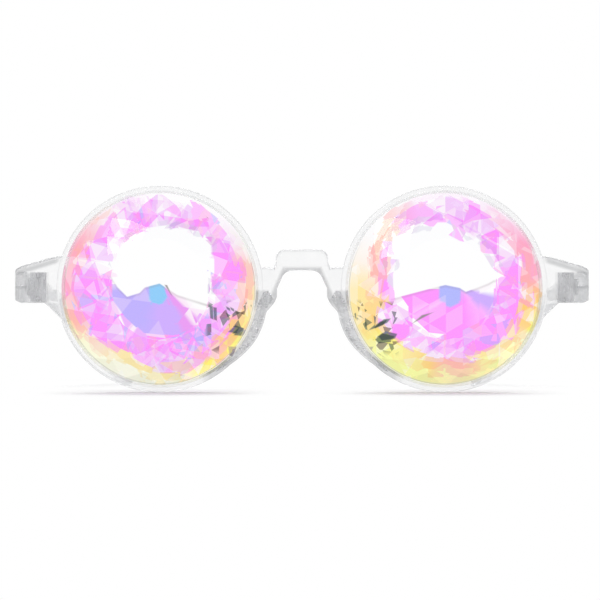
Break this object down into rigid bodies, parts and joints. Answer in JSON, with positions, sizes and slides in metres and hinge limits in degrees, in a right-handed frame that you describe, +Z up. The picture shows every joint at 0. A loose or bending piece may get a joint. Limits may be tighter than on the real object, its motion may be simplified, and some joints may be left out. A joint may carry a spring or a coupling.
{
  "type": "kaleidoscope glasses",
  "caption": "Clear round-framed glasses with thick faceted iridescent crystal lenses, moulded nose pads and folding temples on small metal barrel hinges.",
  "frame": {"origin": "under the middle of the open glasses, on the surface that the rims and temple tips stand on", "axes": "+X runs across the face to the picture's right, -Y is the side that looks ahead, +Y runs along the open temples, +Z is up"},
  "size_m": [0.1496, 0.1422, 0.0538],
  "materials": {
    "clear_frame": "clear, polished",
    "clear_temple": "clear, polished",
    "clear_pad": "clear, satin",
    "faceted_crystal": "cut and polished, iridescent coating",
    "hinge_metal": "satin",
    "screw_metal": "bright"
  },
  "bodies": {
    "front": {"frame_front": "clear_frame", "lens_left": "faceted_crystal", "lens_right": "faceted_crystal", "nose_pad_left": "clear_pad", "nose_pad_right": "clear_pad", "hinge_front_leaf_left": "hinge_metal", "hinge_front_leaf_right": "hinge_metal", "front_leaf_screws_left": "screw_metal", "front_leaf_screws_right": "screw_metal", "hinge_screw_left": "screw_metal", "hinge_screw_right": "screw_metal"},
    "temple_arm_left": {"temple_left": "clear_temple", "hinge_temple_leaf_left": "hinge_metal", "temple_leaf_screws_left": "screw_metal"},
    "temple_arm_right": {"temple_right": "clear_temple", "hinge_temple_leaf_right": "hinge_metal", "temple_leaf_screws_right": "screw_metal"}
  },
  "joints": [
    {"name": "temple_fold_left", "type": "hinge", "parent": "front", "child": "temple_arm_left", "pos_m": [-0.0695, -0.05944, 0.0274], "axis": [0, 0, -1], "range_deg": [0, 81]},
    {"name": "temple_fold_right", "type": "hinge", "parent": "front", "child": "temple_arm_right", "pos_m": [0.0695, -0.05944, 0.0274], "axis": [0, 0, 1], "range_deg": [0, 66]}
  ]
}
